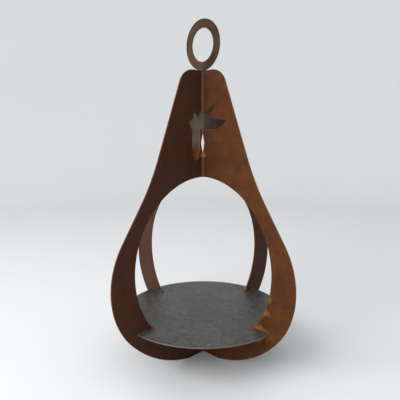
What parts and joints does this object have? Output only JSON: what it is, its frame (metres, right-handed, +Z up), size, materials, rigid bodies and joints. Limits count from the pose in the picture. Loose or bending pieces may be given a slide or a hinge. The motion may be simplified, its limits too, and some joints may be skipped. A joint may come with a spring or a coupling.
{
  "type": "hanging lantern",
  "caption": "Pear-shaped hanging lantern of folded sheet steel with a round opening, a flat tray for a candle, a leaf cut-out and a welded hanging ring.",
  "frame": {"origin": "centre of the base, on the surface the lantern stands on", "axes": "+Z up; the fold with the leaf faces -Y and the four fins stand at 45 degrees to X and Y"},
  "size_m": [0.229, 0.229, 0.4575],
  "materials": {
    "rusted_steel": "hot-rolled sheet with an even brown rust",
    "mill_scale_steel": "grey mill scale, half gloss",
    "weld_metal": "rough weld beads with orange rust"
  },
  "bodies": {
    "root": {"frame_front": "rusted_steel", "frame_back": "rusted_steel", "tray": "mill_scale_steel", "ring": "rusted_steel", "ring_weld": "weld_metal", "neck_welds": "weld_metal", "base_welds": "weld_metal", "tray_tacks": "weld_metal"}
  },
  "joints": []
}
